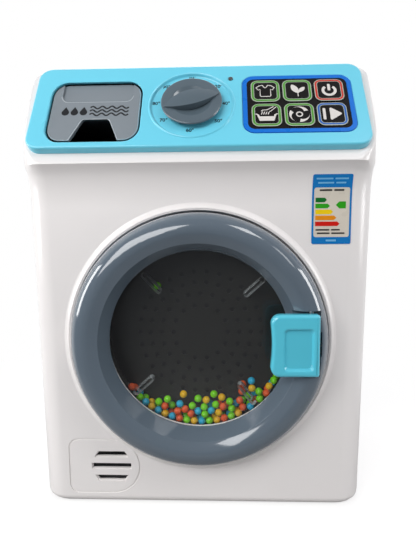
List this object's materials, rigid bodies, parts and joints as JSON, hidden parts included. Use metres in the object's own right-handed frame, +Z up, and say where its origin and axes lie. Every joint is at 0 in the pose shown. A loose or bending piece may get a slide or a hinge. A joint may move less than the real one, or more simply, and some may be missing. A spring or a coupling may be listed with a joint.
{
  "type": "toy washing machine",
  "caption": "Toy front-loading washing machine with an opening door, a turning drum of beads, a detergent drawer, a dial and press keys.",
  "frame": {"origin": "middle of the case on the face that it stands on", "axes": "+X to the right of the front, +Y to the back, +Z up"},
  "size_m": [0.199, 0.1598, 0.2616],
  "materials": {
    "shell_white": "glossy white",
    "panel_blue": "glossy sky blue",
    "handle_blue": "glossy sky blue",
    "drawer_grey": "satin grey",
    "dial_grey": "satin blue grey",
    "ring_grey": "glossy blue grey",
    "dark_plastic": "matte black",
    "drum_dark": "satin charcoal",
    "key_band_blue": "printed blue",
    "key_black": "printed black",
    "key_green": "black key with a green border",
    "key_red": "black key with a red border",
    "key_blue": "black key with a blue border",
    "clear_window": "clear",
    "clear_lens": "clear",
    "bead_green": "glossy",
    "bead_orange": "glossy",
    "bead_yellow": "glossy",
    "bead_blue": "glossy",
    "label_film": "printed film",
    "gear_cream": "natural acetal",
    "steel_parts": "plated steel",
    "bush_brass": "sintered bronze",
    "board_green": "solder mask",
    "cell_green": "wrapped cell"
  },
  "bodies": {
    "root": {"front_shell": "shell_white", "back_shell": "shell_white", "control_panel": "panel_blue", "drawer_housing": "dark_plastic", "dial_switch": "dark_plastic", "indicator_lens": "clear_lens", "indicator_lamp": "clear_lens", "key_surround": "key_band_blue", "key_plate": "key_black", "key_switches": "steel_parts", "circuit_board": "board_green", "board_screws": "steel_parts", "rating_label": "label_film", "hinge_bracket": "shell_white", "hinge_screws": "steel_parts", "latch_strike": "shell_white", "drum_bush": "bush_brass", "drive_plate": "dark_plastic", "drive_plate_screws": "steel_parts", "idler_pin": "steel_parts", "motor": "steel_parts", "gear_cover": "dark_plastic", "gear_cover_screws": "steel_parts", "loudspeaker": "dark_plastic", "battery_box": "dark_plastic", "battery_cells": "cell_green", "battery_contacts": "steel_parts", "battery_cover": "shell_white", "battery_cover_screw": "steel_parts", "case_screws": "steel_parts"},
    "door": {"door_ring": "ring_grey", "door_window": "clear_window", "door_back_ring": "ring_grey", "hinge_pin": "steel_parts", "handle_pin": "steel_parts", "handle_spring": "steel_parts"},
    "handle": {"door_handle": "handle_blue", "latch_tongue": "dark_plastic"},
    "drawer": {"drawer_front": "drawer_grey", "drawer_tray": "drawer_grey"},
    "dial": {"dial_knob": "dial_grey", "dial_shaft": "dark_plastic"},
    "drum": {"drum": "drum_dark", "chamber_cover": "clear_window", "beads_green": "bead_green", "beads_orange": "bead_orange", "beads_yellow": "bead_yellow", "beads_blue": "bead_blue", "drum_shaft": "steel_parts", "drum_gear": "gear_cream"},
    "idler": {"idler_gear": "gear_cream"},
    "motor_rotor": {"motor_pinion": "gear_cream", "motor_shaft": "steel_parts"},
    "key_garment_body": {"key_garment": "key_green"},
    "key_leaf_body": {"key_leaf": "key_green"},
    "key_power_body": {"key_power": "key_red"},
    "key_handwash_body": {"key_handwash": "key_green"},
    "key_spin_body": {"key_spin": "key_green"},
    "key_start_body": {"key_start": "key_blue"}
  },
  "joints": [
    {"name": "door_hinge", "type": "hinge", "parent": "root", "child": "door", "pos_m": [-0.07, -0.0765, 0.1014], "axis": [0, 0, -1], "range_deg": [0, 95]},
    {"name": "handle_pivot", "type": "hinge", "parent": "door", "child": "handle", "pos_m": [0.062, -0.081, 0.1024], "axis": [0, 0, 1], "range_deg": [0, 15], "stiffness_Nm_per_rad": 0.03, "springref_deg": -11.46},
    {"name": "drawer_slide", "type": "slide", "parent": "root", "child": "drawer", "axis": [0, -1, 0], "range_m": [0, 0.036]},
    {"name": "dial_turn", "type": "hinge", "parent": "root", "child": "dial", "pos_m": [-0.0032, -0.0625, 0.23518], "axis": [0, -0.866, 0.5], "continuous": true},
    {"name": "drum_spin", "type": "hinge", "parent": "root", "child": "drum", "pos_m": [0, -0.05, 0.1014], "axis": [0, -1, 0], "continuous": true},
    {"name": "idler_spin", "type": "hinge", "parent": "root", "child": "idler", "pos_m": [0.01764, -0.018, 0.13458], "axis": [0, -1, 0], "continuous": true},
    {"name": "motor_spin", "type": "hinge", "parent": "root", "child": "motor_rotor", "pos_m": [0.01502, -0.01, 0.16455], "axis": [0, -1, 0], "continuous": true},
    {"name": "press_garment", "type": "slide", "parent": "root", "child": "key_garment_body", "axis": [0, 0.866, -0.5], "range_m": [0, 0.001], "stiffness_N_per_m": 400, "springref_m": -0.0004},
    {"name": "press_leaf", "type": "slide", "parent": "root", "child": "key_leaf_body", "axis": [0, 0.866, -0.5], "range_m": [0, 0.001], "stiffness_N_per_m": 400, "springref_m": -0.0004},
    {"name": "press_power", "type": "slide", "parent": "root", "child": "key_power_body", "axis": [0, 0.866, -0.5], "range_m": [0, 0.001], "stiffness_N_per_m": 400, "springref_m": -0.0004},
    {"name": "press_handwash", "type": "slide", "parent": "root", "child": "key_handwash_body", "axis": [0, 0.866, -0.5], "range_m": [0, 0.001], "stiffness_N_per_m": 400, "springref_m": -0.0004},
    {"name": "press_spin", "type": "slide", "parent": "root", "child": "key_spin_body", "axis": [0, 0.866, -0.5], "range_m": [0, 0.001], "stiffness_N_per_m": 400, "springref_m": -0.0004},
    {"name": "press_start", "type": "slide", "parent": "root", "child": "key_start_body", "axis": [0, 0.866, -0.5], "range_m": [0, 0.001], "stiffness_N_per_m": 400, "springref_m": -0.0004}
  ],
  "couplings": [
    {"joint": "idler_spin", "follows": "drum_spin", "ratio": -4},
    {"joint": "motor_spin", "follows": "drum_spin", "ratio": 12}
  ]
}
